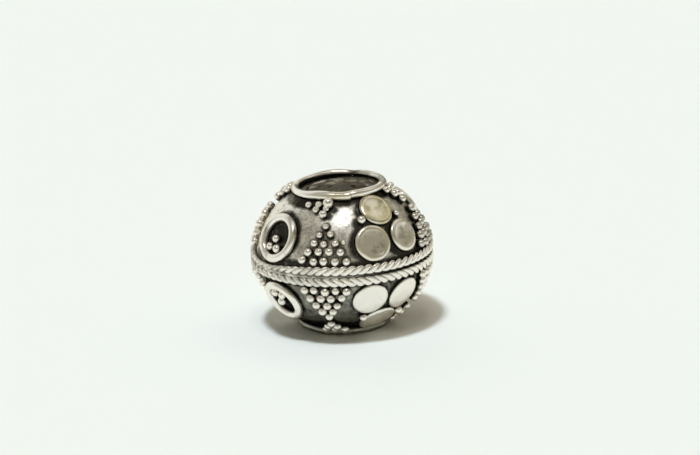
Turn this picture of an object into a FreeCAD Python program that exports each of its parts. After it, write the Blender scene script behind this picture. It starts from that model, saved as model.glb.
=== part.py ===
"""Granulated silver bead: two dapped domes with a twisted wire band, wire rings,
hammered discs and granules soldered on. Millimetres, origin at the bead's centre, +Z along the bore."""
import FreeCAD
import Part
import math
import os

from FreeCAD import Vector

# The two domes, dapped from sheet. Each is a cap of one sphere, filed flat round its hole.
bead_diameter = 12.0
dome_height = 5.06
sheet_thickness = 0.50
bore_radius = 2.30
lip_radius = 2.60
dome_sides = 48
outer_rows = 5
inner_rows = 3

# Twisted wire band: one flattened rope of two wires beside the seam on each dome.
rope_height = 0.70
rope_thickness = 0.39
rope_wires = 2
rope_turns = 33
stations_per_turn = 4
rope_section_sides = 4

# Collar of round wire at each end, its outer side filed to a narrow land.
collar_centreline_radius = 2.85
collar_wire_radius = 0.25
collar_sides = 28
collar_section_sides = 8

# Wire rings, each with three granules inside.
ring_centreline_radius = 1.33
ring_wire_radius = 0.27
ring_sides = 22
ring_section_sides = 6
ring_granule_rows = 2
ring_shift = 4.0

# Discs cut from sheet and hammered, in threes. The radius is a share of the arc from band to collar.
disc_radius_share = 0.26
disc_wall = 0.30
disc_rounding = 0.09
disc_sides = 18
disc_dish_share = 0.5

# Granules: balls melted down on to the dome, in triangles.
granule_radius = 0.28
granule_height = 0.52
granule_sides = 5
granule_foot_share = 0.5
granule_belly_share = 0.45
granule_pitch = 0.70
granule_row_pitch = 0.55
tall_triangle_rows = 5
small_triangle_rows = 3
small_triangle_pitch = 0.60
small_triangle_row_pitch = 0.49

# Clearance left between neighbouring pieces for the solder.
solder_gap = 0.02

# Azimuths of the motifs round the bore, in degrees from +X.
turn = 360.0
ring_azimuths = {"right": ring_shift, "left": ring_shift + turn / 2}
trefoil_azimuths = {"back": turn / 4, "front": 3 * turn / 4}
hourglass_azimuths = {
    "back_right": turn / 8,
    "back_left": 3 * turn / 8,
    "front_left": 5 * turn / 8,
    "front_right": 7 * turn / 8,
}

# The sphere's centre lies below the seam by its drop.
seam_radius = bead_diameter / 2 - rope_thickness
sphere_radius = (seam_radius ** 2 + dome_height ** 2) / (2 * dome_height)
sphere_drop = sphere_radius - dome_height
inner_sphere_radius = sphere_radius - sheet_thickness
granule_centre_radius = sphere_radius + granule_radius

AXIS = Vector(0, 0, 1)
CENTRE = Vector(0, 0, 0)


def flat_face(points):
    return Part.Face(Part.makePolygon(points + points[:1]))


def following_pairs(items):
    """Each item with the one after it, and the last with the first."""
    return list(zip(items, items[1:] + items[:1]))


def faces_between(lower, upper):
    """Flat four-sided faces between two closed rings of as many points."""
    return [
        flat_face([lower_here, lower_next, upper_next, upper_here])
        for (lower_here, lower_next), (upper_here, upper_next)
        in zip(following_pairs(lower), following_pairs(upper))
    ]


def level(radius, height, sides):
    """Corners of a regular polygon about the Z axis."""
    return [
        Vector(radius * math.cos(angle), radius * math.sin(angle), height)
        for angle in (2 * math.pi * side / sides for side in range(sides))
    ]


def turned_ring(profile, sides):
    """A closed profile of distances and heights, turned about Z with flat sides, hollow at the axis."""
    levels = [level(distance, height, sides) for distance, height in profile]
    faces = []
    for lower, upper in following_pairs(levels):
        faces += faces_between(lower, upper)
    return Part.Solid(Part.Shell(faces))


def turned_solid(profile, sides):
    """Distances and heights from bottom to top, turned about Z with flat sides and closed at both ends."""
    levels = [level(distance, height, sides) for distance, height in profile]
    faces = [flat_face(levels[0][::-1]), flat_face(levels[-1])]
    for lower, upper in zip(levels, levels[1:]):
        faces += faces_between(lower, upper)
    return Part.Solid(Part.Shell(faces))


def height_on_sphere(radius, distance):
    """Height above the sphere's centre at a distance from the Z axis."""
    return math.sqrt(radius ** 2 - distance ** 2)


def arc_profile(radius, start_distance, end_distance, rows):
    """Distances and heights along a meridian of a sphere, in equal steps of its angle."""
    start = math.asin(start_distance / radius)
    end = math.asin(end_distance / radius)
    angles = [start + (end - start) * row / rows for row in range(rows + 1)]
    return [(radius * math.sin(angle), radius * math.cos(angle)) for angle in angles]


def polar_at_height(height, radius):
    """Angle from +Z, in degrees, of a point at this height above the seam."""
    return math.degrees(math.acos((height + sphere_drop) / radius))


def seat(shape, polar, azimuth):
    """Carries a piece made at the pole of the dome's sphere to its own place on the upper dome."""
    placed = shape.copy()
    placed.rotate(CENTRE, Vector(0, 1, 0), polar)
    placed.rotate(CENTRE, AXIS, azimuth)
    placed.translate(Vector(0, 0, -sphere_drop))
    return placed


def write(name, shape):
    shape.exportStep(os.path.join("parts", name + ".step"))


def write_both_halves(name, upper_shape):
    """The lower half of the bead mirrors the upper half at the seam."""
    write("upper_" + name, upper_shape)
    write("lower_" + name, upper_shape.mirror(CENTRE, AXIS))


def dome():
    """One dapped half with its end filed flat and drilled out for the cord."""
    inner_seam_radius = height_on_sphere(inner_sphere_radius, sphere_drop)
    outer_profile = arc_profile(sphere_radius, seam_radius, lip_radius, outer_rows)
    inner_profile = arc_profile(inner_sphere_radius, inner_seam_radius, lip_radius, inner_rows)
    outside = turned_solid(outer_profile, dome_sides)
    inside = turned_solid(inner_profile, dome_sides)
    drill = Part.makeCylinder(bore_radius, sphere_radius)
    return seat(outside.cut(inside).cut(drill), 0, 0)


def wire_section(sides, first_angle, wire_radius):
    """Corners of a wire's section from its middle, as distance and height. A side faces the first angle."""
    corners = []
    for side in range(sides):
        angle = first_angle - 2 * math.pi * (side + 0.5) / sides
        corners.append((wire_radius * math.sin(angle), wire_radius * math.cos(angle)))
    return corners


def collar():
    """The wire round the hole. One side of its section is the land, and one corner rests on the dome."""
    section = wire_section(collar_section_sides, 0, collar_wire_radius)
    heights = [
        height_on_sphere(sphere_radius, collar_centreline_radius + distance) - height
        for distance, height in section if height < 0
    ]
    profile = [(collar_centreline_radius + distance, max(heights) + height) for distance, height in section]
    return seat(turned_ring(profile, collar_sides), 0, 0)


def ring():
    """A ring of round wire that lies on the dome, one side of its section flat on it."""
    side_distance = ring_wire_radius * math.cos(math.pi / ring_section_sides)
    lift = height_on_sphere(sphere_radius + side_distance, ring_centreline_radius)
    lean = math.atan2(ring_centreline_radius, lift)
    section = wire_section(ring_section_sides, lean, ring_wire_radius)
    profile = [(ring_centreline_radius + distance, lift + height) for distance, height in section]
    return turned_ring(profile, ring_sides)


def disc_radius():
    """Three touching discs fill the dome from the band to the collar."""
    band_polar = polar_at_height(rope_height + solder_gap, sphere_radius)
    collar_edge_polar = collar_polars()[1]
    return disc_radius_share * sphere_radius * math.radians(band_polar - collar_edge_polar)


def disc(radius):
    """A hammered disc. It touches the dome at its middle and its foot, and its top edge is rounded."""
    foot_height = height_on_sphere(sphere_radius, radius)
    return turned_solid([
        (radius * disc_dish_share, sphere_radius),
        (radius, foot_height),
        (radius, foot_height + disc_wall - disc_rounding),
        (radius - disc_rounding, foot_height + disc_wall),
    ], disc_sides)


def granule():
    """One ball with few sides: a small foot, a wide belly and a low crown."""
    return turned_solid([
        (granule_radius * granule_foot_share, sphere_radius),
        (granule_radius, sphere_radius + granule_height * granule_belly_share),
        (granule_radius * granule_foot_share, sphere_radius + granule_height),
    ], granule_sides)


def granule_triangle(apex_polar, row_count, step, pitch):
    """Rows of one, two, three granules and so on. A positive step sets them out towards the seam."""
    places = []
    for row in range(row_count):
        polar = apex_polar + step * row
        spacing = pitch / (granule_centre_radius * math.sin(math.radians(polar)))
        for column in range(row + 1):
            places.append((polar, math.degrees(spacing) * (column - row / 2)))
    return places


def collar_polars():
    """Polar angles of the middle and of the outer edge of the collar's wire, as it lies on the dome."""
    seat_radius = sphere_radius + collar_wire_radius
    middle = math.asin(collar_centreline_radius / seat_radius)
    edge = middle + collar_wire_radius / seat_radius
    return math.degrees(middle), math.degrees(edge)


def hourglass_places():
    """A tall triangle standing on the band and a small one hanging from the collar."""
    step = math.degrees(granule_row_pitch / sphere_radius)
    seam_row_height = rope_height + solder_gap + granule_radius
    seam_row_polar = polar_at_height(seam_row_height, granule_centre_radius)
    apex_polar = seam_row_polar - step * (tall_triangle_rows - 1)
    tall = granule_triangle(apex_polar, tall_triangle_rows, step, granule_pitch)
    step = math.degrees(small_triangle_row_pitch / sphere_radius)
    reach = collar_wire_radius + granule_radius + solder_gap
    collar_row_polar = collar_polars()[0] + math.degrees(reach / granule_centre_radius)
    apex_polar = collar_row_polar + step * (small_triangle_rows - 1)
    small = granule_triangle(apex_polar, small_triangle_rows, -step, small_triangle_pitch)
    return tall + small


def direction(polar, azimuth):
    polar, azimuth = math.radians(polar), math.radians(azimuth)
    return Vector(math.sin(polar) * math.cos(azimuth), math.sin(polar) * math.sin(azimuth), math.cos(polar))


def place_of(vector):
    return math.degrees(vector.getAngle(AXIS)), math.degrees(math.atan2(vector.y, vector.x))


def trefoil_places(radius):
    """Polar angle and azimuth, from the trefoil's middle line, of its upper, left and right disc."""
    half_angle = math.asin((radius + solder_gap / 2) / sphere_radius)
    rim_angle = math.degrees(math.asin(radius / sphere_radius))
    low_polar = polar_at_height(rope_height + solder_gap, sphere_radius) - rim_angle
    low = math.radians(low_polar)
    side = math.asin(math.sin(half_angle) / math.sin(low))
    across = math.atan2(math.sin(low) * math.cos(side), math.cos(low))
    reach = math.hypot(math.sin(low) * math.cos(side), math.cos(low))
    top_polar = math.degrees(across - math.acos(math.cos(2 * half_angle) / reach))
    side = math.degrees(side)
    return {"top": (top_polar, 0), "left": (low_polar, -side), "right": (low_polar, side)}


def crook_places(places, radius):
    """Where a granule lies in the crook between the upper disc and each lower one."""
    distance = (radius + granule_radius + solder_gap) / sphere_radius
    found = []
    for side in ("left", "right"):
        first, second = direction(*places["top"]), direction(*places[side])
        middle = (first + second).normalize()
        outward = first.cross(second).normalize()
        if outward.y * places[side][1] < 0:
            outward = outward * -1
        half_angle = first.getAngle(second) / 2
        rise = math.acos(math.cos(distance) / math.cos(half_angle))
        found.append(place_of(middle * math.cos(rise) + outward * math.sin(rise)))
    return found


def ring_polar():
    """The ring lies on the dome with its lowest side just clear of the band."""
    seat_radius = sphere_radius + ring_wire_radius
    low_polar = polar_at_height(rope_height + solder_gap + ring_wire_radius, seat_radius)
    return low_polar - math.degrees(math.asin(ring_centreline_radius / seat_radius))


def ring_granule_places():
    """Three granules, two of them against the side of the ring that faces the band."""
    step = math.degrees(granule_row_pitch / sphere_radius)
    reach = ring_centreline_radius - ring_wire_radius - granule_radius - solder_gap
    low_row = math.degrees(math.sqrt(reach ** 2 - (granule_pitch / 2) ** 2) / granule_centre_radius)
    apex_polar = ring_polar() + low_row - step * (ring_granule_rows - 1)
    return granule_triangle(apex_polar, ring_granule_rows, step, granule_pitch)


def granules(places, azimuth):
    return Part.makeCompound([seat(granule(), polar, azimuth + shift) for polar, shift in places])


def rope_wire(phase):
    """One of a rope's wires: a four-cornered section carried round the seam in a flattened twist."""
    station_count = rope_turns * stations_per_turn
    flatness = rope_thickness / rope_height
    path_radius = seam_radius + rope_thickness / 2
    path_height = (rope_height + solder_gap) / 2
    wire_radius = (rope_height - solder_gap) / (2 * rope_wires)
    wire_distance = rope_height / 2 - wire_radius

    def section(station):
        twist = 2 * math.pi * station / stations_per_turn + phase
        azimuth = 2 * math.pi * station / station_count
        corners = []
        for corner in range(rope_section_sides):
            angle = 2 * math.pi * corner / rope_section_sides
            outwards = wire_distance * math.cos(twist) + wire_radius * math.cos(angle)
            upwards = wire_distance * math.sin(twist) + wire_radius * math.sin(angle)
            distance = path_radius + flatness * outwards
            corners.append(Vector(
                distance * math.cos(azimuth), distance * math.sin(azimuth), path_height + upwards))
        return corners

    sections = [section(station) for station in range(station_count)]
    faces = []
    for here, there in following_pairs(sections):
        for (first, second), (fourth, third) in zip(following_pairs(here), following_pairs(there)):
            faces.append(flat_face([first, second, third]))
            faces.append(flat_face([first, third, fourth]))
    return Part.Solid(Part.Shell(faces))


def main():
    os.makedirs("parts", exist_ok=True)
    write_both_halves("dome", dome())
    write_both_halves("collar", collar())
    for wire in range(rope_wires):
        write_both_halves("rope_wire_" + str(wire + 1), rope_wire(2 * math.pi * wire / rope_wires))
    for side, azimuth in ring_azimuths.items():
        write_both_halves(side + "_ring", seat(ring(), ring_polar(), azimuth))
        write_both_halves(side + "_ring_granules", granules(ring_granule_places(), azimuth))
    radius = disc_radius()
    discs = trefoil_places(radius)
    for side, azimuth in trefoil_azimuths.items():
        for place, (polar, shift) in discs.items():
            write_both_halves(side + "_" + place + "_disc", seat(disc(radius), polar, azimuth + shift))
        write_both_halves(side + "_disc_granules", granules(crook_places(discs, radius), azimuth))
    for corner, azimuth in hourglass_azimuths.items():
        write_both_halves(corner + "_granules", granules(hourglass_places(), azimuth))


main()
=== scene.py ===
"""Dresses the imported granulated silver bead: dapped shells, collars, twisted wire bands, rings,
hammered discs and fused granules in tumbled, oxidised silver. Metres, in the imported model's frame."""
import math

import bpy
import numpy as np
from bpy.props import FloatProperty, FloatVectorProperty, IntProperty, PointerProperty
from bpy.types import Operator, Panel, PropertyGroup
from mathutils import Matrix, Vector, noise


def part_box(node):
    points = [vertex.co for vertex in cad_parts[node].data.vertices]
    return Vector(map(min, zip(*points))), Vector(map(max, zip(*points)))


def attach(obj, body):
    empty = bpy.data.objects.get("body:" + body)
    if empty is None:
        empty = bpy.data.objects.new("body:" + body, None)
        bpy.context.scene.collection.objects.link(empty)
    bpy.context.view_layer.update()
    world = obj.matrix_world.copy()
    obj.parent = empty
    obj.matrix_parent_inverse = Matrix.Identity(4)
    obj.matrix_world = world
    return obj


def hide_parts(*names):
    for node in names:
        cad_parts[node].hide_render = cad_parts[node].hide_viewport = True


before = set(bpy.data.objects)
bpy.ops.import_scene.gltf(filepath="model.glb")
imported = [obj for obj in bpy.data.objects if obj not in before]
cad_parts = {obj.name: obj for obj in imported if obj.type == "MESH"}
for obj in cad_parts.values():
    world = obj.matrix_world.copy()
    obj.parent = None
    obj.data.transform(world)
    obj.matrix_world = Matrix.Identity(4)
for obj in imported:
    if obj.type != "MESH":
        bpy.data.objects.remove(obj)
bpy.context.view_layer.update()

bl_info = {
    "name": "Granulated silver bead",
    "version": (1, 0, 0),
    "blender": (4, 5, 0),
    "location": "3D View > Sidebar > Bead",
    "description": "Builds the finished pieces of a granulated silver bead round its packed model",
    "category": "Object",
}

MM = 0.001
FULL_TURN = 2 * math.pi
HALVES = {"upper": 1, "lower": -1}
BODY = "root"

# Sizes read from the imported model.
SEAM_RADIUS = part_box("upper_dome")[1].x
LIP_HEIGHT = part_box("upper_dome")[1].z
BAND_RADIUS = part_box("upper_rope_wire_1")[1].x
BAND_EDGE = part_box("upper_rope_wire_1")[1].z
COLLAR_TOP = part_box("upper_collar")[1].z
FLOOR_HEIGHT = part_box("lower_collar")[0].z

# Azimuths of the motifs round the hole, in degrees from +X.
RING_AZIMUTHS = {"right": 4.0, "left": 184.0}
TREFOIL_AZIMUTHS = {"back": 90.0, "front": 270.0}
HOURGLASS_AZIMUTHS = {"back_right": 45.0, "back_left": 135.0, "front_left": 225.0, "front_right": 315.0}
# Rows of balls in an hourglass, on the band and under the collar.
TALL_ROWS, SMALL_ROWS = 5, 3

# The sides of the bead that its making, its patina and its painted light single out, as azimuths, with how
# narrow each one is.
# Solder fills the seam on one side, and it is open and dark on this one, between two shares.
OPEN_SEAM_SIDE, OPEN_SEAM_SHARES = math.radians(310), (-0.10, 0.85)
# On one side patina is taken off the upper shell, a painted sheen for the glare of a bright light at the
# back left; on another side both shells carry more patina and are darker.
PAINTED_GLARE_SIDE, PAINTED_GLARE_NARROWNESS = math.radians(147), 14
DARKER_SIDE, DARKER_NARROWNESS = math.radians(337), 12
# The stain under the upper collar is widest.
WIDE_STAIN_SIDE, WIDE_STAIN_NARROWNESS = math.radians(188), 8
# The ropes carry less patina on their crests and in their furrows on this side.
LIGHTER_ROPE_SIDE = math.radians(262)
# The upper rope is thinnest.
THIN_ROPE_SIDE = math.radians(174)
# The upper collar is highest, dented, thickest, grey with film on its inner face, and yellowish where it
# faces the camera, a painted warm highlight.
COLLAR_HIGH_SIDE = math.radians(350)
DENT_SIDE = math.radians(37)
SWELLING_SIDE, SWELLING_NARROWNESS = math.radians(212), 2.5
FILM_SIDE, FILM_NARROWNESS = math.radians(172), 8
PAINTED_HIGHLIGHT_SIDE, PAINTED_HIGHLIGHT_NARROWNESS = math.radians(238), 16


def linear(code):
    """An sRGB hex colour as the linear colour that shaders take."""
    channels = [int(code[i:i + 2], 16) / 255 for i in (1, 3, 5)]
    return [c / 12.92 if c <= 0.04045 else ((c + 0.055) / 1.055) ** 2.4 for c in channels] + [1.0]


def length(name, description, millimetres):
    return FloatProperty(name=name, description=description, default=millimetres * MM,
                         unit="LENGTH", subtype="DISTANCE", precision=5)


def share(name, description, default):
    return FloatProperty(name=name, description=description, default=default, min=0.0, max=1.0,
                         subtype="FACTOR")


def colour(name, description, code):
    return FloatVectorProperty(name=name, description=description, default=linear(code), size=4,
                               min=0.0, max=1.0, subtype="COLOR")


class ShellSizes(PropertyGroup):
    sheet_thickness: length("Sheet", "Thickness of the dapped sheet", 0.50)
    lip_radius: length("Lip radius", "Radius of the flat filed round the hole", 2.60)
    bore_radius: length("Hole radius", "Radius of the hole for the cord", 2.30)
    unevenness: length("Unevenness", "Height of the waves that hand dapping leaves", 0.030)
    clear_width: length("Clear width", "Distance from a motif past which the shell is polished", 0.30)
    ring_stain: length("Ring stain", "How much wider the stain is round a ring", 0.02)
    collar_stain: length("Collar stain", "How much wider the stain is round a collar", 0.36)
    ball_stain: length("Ball stain", "How much narrower the stain is round a fused ball", 0.12)
    lip_slope: length("Lip slope", "How much lower the upper lip was filed on one side", 0.30)


class WireSizes(PropertyGroup):
    collar_radius: length("Collar radius", "Radius of the collar at the middle of its wire", 2.85)
    collar_wire: length("Collar wire", "Radius of the collar's wire", 0.25)
    ring_radius: length("Ring radius", "Radius of a ring at the middle of its wire", 1.33)
    ring_wire: length("Ring wire", "Radius of a ring's wire", 0.27)
    rope_height: length("Rope height", "Height of one twisted rope of the band", 0.70)
    rope_thickness: length("Rope thickness", "Thickness of one rope, out from the shell", 0.39)
    rope_turns: IntProperty(name="Rope turns", description="Turns of the twist round the bead", default=33)


class TrimSizes(PropertyGroup):
    disc_radius: length("Disc radius", "Radius of a hammered disc", 1.16)
    disc_wall: length("Disc wall", "Height of a disc's edge", 0.30)
    granule_radius: length("Granule radius", "Radius of a fused ball", 0.28)
    granule_pitch: length("Granule pitch", "Distance between the balls of a row", 0.70)
    row_pitch: length("Row pitch", "Distance between rows of balls", 0.55)
    small_pitch: length("Small pitch", "Distance between the balls under the collar", 0.60)
    small_row_pitch: length("Small row pitch", "Distance between the rows under the collar", 0.49)


class Finish(PropertyGroup):
    polished: colour("Polished silver", "Silver where tumbling has polished it", "#FAF5EC")
    dull: colour("Grey patina", "Silver with a thin grey sulphide", "#A3A196")
    blackened: colour("Black patina", "Silver sulphide left in the recesses", "#3F3D38")
    # This tint is also the colour of a painted warm highlight on the upper collar.
    warm: colour("Warm tint", "Yellowish first film of sulphide", "#E8E4C6")
    paper: colour("Table", "Pale paper that the bead stands on", "#EDF3F0")
    polished_roughness: share("Polished roughness", "Roughness of tumbled silver", 0.30)
    black_roughness: share("Patina roughness", "Roughness of the black patina", 0.50)
    upper_patina: share("Upper shell", "Patina left where the upper shell stands clear", 0.24)
    lower_patina: share("Lower shell", "Patina left where the lower shell stands clear", 0.56)
    recess_patina: share("Recesses", "Patina left close to the motifs", 0.86)
    inner_patina: share("Inside", "Patina inside the bead", 0.02)
    upper_disc_patina: share("Upper discs", "Patina left in the dish of an upper disc", 0.16)
    lower_disc_patina: share("Lower discs", "Patina left on a lower disc", 0.03)


def shell_sizes():
    return bpy.context.scene.bead_shell


def wire_sizes():
    return bpy.context.scene.bead_wire


def trim_sizes():
    return bpy.context.scene.bead_trim


def finish():
    return bpy.context.scene.bead_finish


# Places on the dome. Each dome is a cap of a sphere whose centre lies past the seam by its drop.

def sphere_drop():
    lip = shell_sizes().lip_radius
    return (SEAM_RADIUS ** 2 - lip ** 2 - LIP_HEIGHT ** 2) / (2 * LIP_HEIGHT)


def sphere_radius():
    return math.hypot(SEAM_RADIUS, sphere_drop())


def polar_at_height(height, radius):
    return math.acos((height + sphere_drop()) / radius)


def direction(polar, azimuth):
    across = math.sin(polar)
    return np.array([across * math.cos(azimuth), across * math.sin(azimuth), math.cos(polar)])


def rays_to(points):
    """Unit rays to points from the centre of the dome's sphere."""
    rays = points + np.array([0, 0, sphere_drop()])
    return rays / np.linalg.norm(rays, axis=-1, keepdims=True)


def collar_polar():
    return math.asin(wire_sizes().collar_radius / (sphere_radius() + wire_sizes().collar_wire))


def triangle_places(apex, rows, step, pitch):
    """Polar angles and azimuths of rows of one, two, three balls, from the middle line."""
    centre_radius = sphere_radius() + trim_sizes().granule_radius
    places = []
    for row in range(rows):
        polar = apex + step * row
        spacing = pitch / (centre_radius * math.sin(polar))
        places += [(polar, spacing * (column - row / 2)) for column in range(row + 1)]
    return places


def hourglass_places():
    """A tall triangle of balls on the band and a small one under the collar."""
    trim = trim_sizes()
    centre_radius = sphere_radius() + trim.granule_radius
    step = trim.row_pitch / sphere_radius()
    seam_row = polar_at_height(BAND_EDGE + trim.granule_radius, centre_radius)
    tall = triangle_places(seam_row - (TALL_ROWS - 1) * step, TALL_ROWS, step, trim.granule_pitch)
    step = trim.small_row_pitch / sphere_radius()
    reach = wire_sizes().collar_wire + trim.granule_radius
    collar_row = collar_polar() + reach / centre_radius
    small = triangle_places(collar_row + (SMALL_ROWS - 1) * step, SMALL_ROWS, -step, trim.small_pitch)
    return tall, small


def ring_polar():
    wire = wire_sizes()
    seat_radius = sphere_radius() + wire.ring_wire
    low_side = polar_at_height(BAND_EDGE + wire.ring_wire, seat_radius)
    return low_side - math.asin(wire.ring_radius / seat_radius)


def ring_granule_places():
    """Three balls in a ring, two of them against its side by the band."""
    wire, trim = wire_sizes(), trim_sizes()
    step = trim.row_pitch / sphere_radius()
    reach = wire.ring_radius - wire.ring_wire - trim.granule_radius
    low_row = math.sqrt(reach ** 2 - (trim.granule_pitch / 2) ** 2) / (sphere_radius() + trim.granule_radius)
    return triangle_places(ring_polar() + low_row - step, 2, step, trim.granule_pitch)


def trefoil_places():
    """Polar angle and azimuth of the upper, left and right disc, from the trefoil's middle line."""
    radius = trim_sizes().disc_radius
    half_angle = math.asin(radius / sphere_radius())
    low = polar_at_height(BAND_EDGE, sphere_radius()) - half_angle
    side = math.asin(math.sin(half_angle) / math.sin(low))
    across = math.atan2(math.sin(low) * math.cos(side), math.cos(low))
    reach = math.hypot(math.sin(low) * math.cos(side), math.cos(low))
    top = across - math.acos(math.cos(2 * half_angle) / reach)
    return {"top": (top, 0.0), "left": (low, -side), "right": (low, side)}


def crook_places():
    """Where a ball lies in the crook between the upper disc and each lower one."""
    trim = trim_sizes()
    places = trefoil_places()
    distance = (trim.disc_radius + trim.granule_radius) / sphere_radius()
    found = []
    for side in ("left", "right"):
        first, second = direction(*places["top"]), direction(*places[side])
        middle = (first + second) / np.linalg.norm(first + second)
        outward = np.cross(first, second)
        outward *= math.copysign(1, places[side][1] * outward[1]) / np.linalg.norm(outward)
        rise = math.acos(math.cos(distance) / np.dot(first, middle))
        x, y, z = middle * math.cos(rise) + outward * math.sin(rise)
        found.append((math.acos(z), math.atan2(y, x)))
    return found


# Meshes.

# How far apart in the noise two seeds lie.
SEED_STEPS = (7.31, 3.17, 5.77)


def waves(points, size, seed):
    """Smooth noise from -1 to 1 at each point, with waves about as long as the size."""
    shift = Vector([seed * step for step in SEED_STEPS])
    heights = [noise.noise(Vector(point) / size + shift) for point in points.reshape(-1, 3)]
    return np.array(heights).reshape(points.shape[:-1])


def steps_round(count):
    return np.linspace(0, FULL_TURN, count, endpoint=False)


def circle_at(azimuths):
    """Points of a flat circle of radius 1."""
    return np.stack([np.cos(azimuths), np.sin(azimuths), np.zeros(len(azimuths))], axis=-1)


def near(azimuths, side, narrowness):
    """1 at a side of the bead, and less with the distance from it."""
    return np.exp(narrowness * (np.cos(azimuths - side) - 1))


def link_mesh(name, vertices, faces):
    mesh = bpy.data.meshes.new(name)
    mesh.from_pydata([tuple(v) for v in vertices], [], faces)
    if signed_volume(mesh) < 0:
        mesh.flip_normals()
    mesh.shade_smooth()
    piece = bpy.data.objects.new(name, mesh)
    bpy.context.scene.collection.objects.link(piece)
    return piece


def signed_volume(mesh):
    mesh.calc_loop_triangles()
    corners = np.zeros(len(mesh.vertices) * 3)
    mesh.vertices.foreach_get("co", corners)
    triangles = np.zeros(len(mesh.loop_triangles) * 3, np.int32)
    mesh.loop_triangles.foreach_get("vertices", triangles)
    a, b, c = corners.reshape(-1, 3)[triangles.reshape(-1, 3)].transpose(1, 0, 2)
    return np.einsum("ij,ij->i", a, np.cross(b, c)).sum()


def grid_faces(rows, columns, wrap_rows):
    """Four-sided faces of a grid whose columns close on themselves."""
    index = np.arange(rows * columns).reshape(rows, columns)
    following = np.roll(index, -1, axis=0) if wrap_rows else index[1:]
    index = index if wrap_rows else index[:-1]
    faces = np.stack([index, np.roll(index, -1, 1), np.roll(following, -1, 1), following], axis=-1)
    return faces.reshape(-1, 4).tolist()


def grid_piece(name, grid, wrap_rows=False):
    """A closed piece from rings of points. Without wrapping, each end closes on a pole."""
    rows, columns = grid.shape[:2]
    vertices = grid.reshape(-1, 3)
    faces = grid_faces(rows, columns, wrap_rows)
    if not wrap_rows:
        vertices = np.vstack([vertices, grid[0].mean(0), grid[-1].mean(0)])
        first, last, start = rows * columns, rows * columns + 1, (rows - 1) * columns
        for i in range(columns):
            following = (i + 1) % columns
            faces += [[first, following, i], [last, start + i, start + following]]
    return link_mesh(name, vertices, faces)


def turned(profile, columns):
    """Distances and heights turned about Z into a grid of points."""
    angles = steps_round(columns)
    distances, heights = np.array(profile).T
    x = np.outer(distances, np.cos(angles))
    y = np.outer(distances, np.sin(angles))
    return np.stack([x, y, np.repeat(heights[:, None], columns, 1)], axis=-1)


def wire_tube(path, outward, rise, across, up, sides, worn=1.0):
    """Rings of points round a path, from half sizes across and up. The top may be worn lower."""
    angles = steps_round(sides)
    sine = np.where(np.sin(angles) > 0, np.sin(angles) * worn, np.sin(angles))
    across = np.multiply.outer(across, np.cos(angles))
    up = np.multiply.outer(up, sine)
    return path[:, None] + across[..., None] * outward[:, None] + up[..., None] * rise[:, None]


def seated(points, polar, azimuth, half):
    """Carries points from the pole of the dome's sphere to their place on one half of the bead."""
    turn = Matrix.Rotation(azimuth, 3, "Z") @ Matrix.Rotation(polar, 3, "Y")
    placed = points @ np.array(turn).T - np.array([0, 0, sphere_drop()])
    return placed * np.array([1, 1, half])


def store(piece, name, values, kind="FLOAT"):
    attribute = piece.data.attributes.new(name, kind, "POINT")
    attribute.data.foreach_set("value" if kind == "FLOAT" else "vector", np.ravel(values).astype(np.float32))


def hand_over(piece, material, slot, *nodes):
    """A finished piece takes its material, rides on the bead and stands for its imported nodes."""
    if material is not None:
        piece.data.materials.clear()
        piece.data.materials.append(material)
    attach(piece, BODY)
    if nodes:
        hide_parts(*nodes)


# Node trees.

MATH, VECTOR_MATH, MIX = "ShaderNodeMath", "ShaderNodeVectorMath", "ShaderNodeMix"
SPLIT, JOIN, RANGE = "ShaderNodeSeparateXYZ", "ShaderNodeCombineXYZ", "ShaderNodeMapRange"
NOISE, ATTRIBUTE = "ShaderNodeTexNoise", "ShaderNodeAttribute"
PLACE, RESHAPE = "GeometryNodeInputPosition", "GeometryNodeSetPosition"
CURVE_CIRCLE, OWN_VALUE = "GeometryNodeCurvePrimitiveCircle", "GeometryNodeInputNamedAttribute"
NUMBER, WHOLE, SUBSTANCE = "NodeSocketFloat", "NodeSocketInt", "NodeSocketMaterial"
# A range takes a value, the two ends that it comes from and the two that it goes to, here smoothly.
SMOOTH = {"interpolation_type": "SMOOTHSTEP"}


def add(tree, kind, inputs=(), **settings):
    """Adds a node with its settings, and sets or links its inputs, given by name or in order.

    A node given as an input stands for its first output that is in use.
    """
    node = tree.nodes.new(kind)
    for name, value in settings.items():
        setattr(node, name, value)
    for key, value in inputs.items() if isinstance(inputs, dict) else enumerate(inputs):
        if isinstance(value, bpy.types.Node):
            value = next(socket for socket in value.outputs if socket.enabled)
        if isinstance(value, bpy.types.NodeSocket):
            tree.links.new(value, node.inputs[key])
        else:
            node.inputs[key].default_value = value
    return node


def set_stops(node, stops):
    """Gives a colour ramp its stops, each a position and a colour. The first two are its ends."""
    elements = node.color_ramp.elements
    for index, (position, shade) in enumerate(stops):
        stop = elements[index] if index < 2 else elements.new(position)
        stop.position, stop.color = position, shade


def new_tree(name, inputs):
    """An empty geometry tree with named inputs: (name, socket kind, default)."""
    tree = bpy.data.node_groups.new(name, "GeometryNodeTree")
    tree.interface.new_socket("Geometry", in_out="OUTPUT", socket_type="NodeSocketGeometry")
    tree.interface.new_socket("Geometry", in_out="INPUT", socket_type="NodeSocketGeometry")
    for label, kind, default in inputs:
        socket = tree.interface.new_socket(label, in_out="INPUT", socket_type=kind)
        if default is not None:
            socket.default_value = default
    return tree, add(tree, "NodeGroupInput").outputs


def end_tree(tree, shape, material):
    """Makes the instances of a shape real and gives them their material."""
    real = add(tree, "GeometryNodeRealizeInstances", {"Geometry": shape})
    coated = add(tree, "GeometryNodeSetMaterial", {"Geometry": real, "Material": material})
    add(tree, "NodeGroupOutput", (coated,))
    return tree


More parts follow.
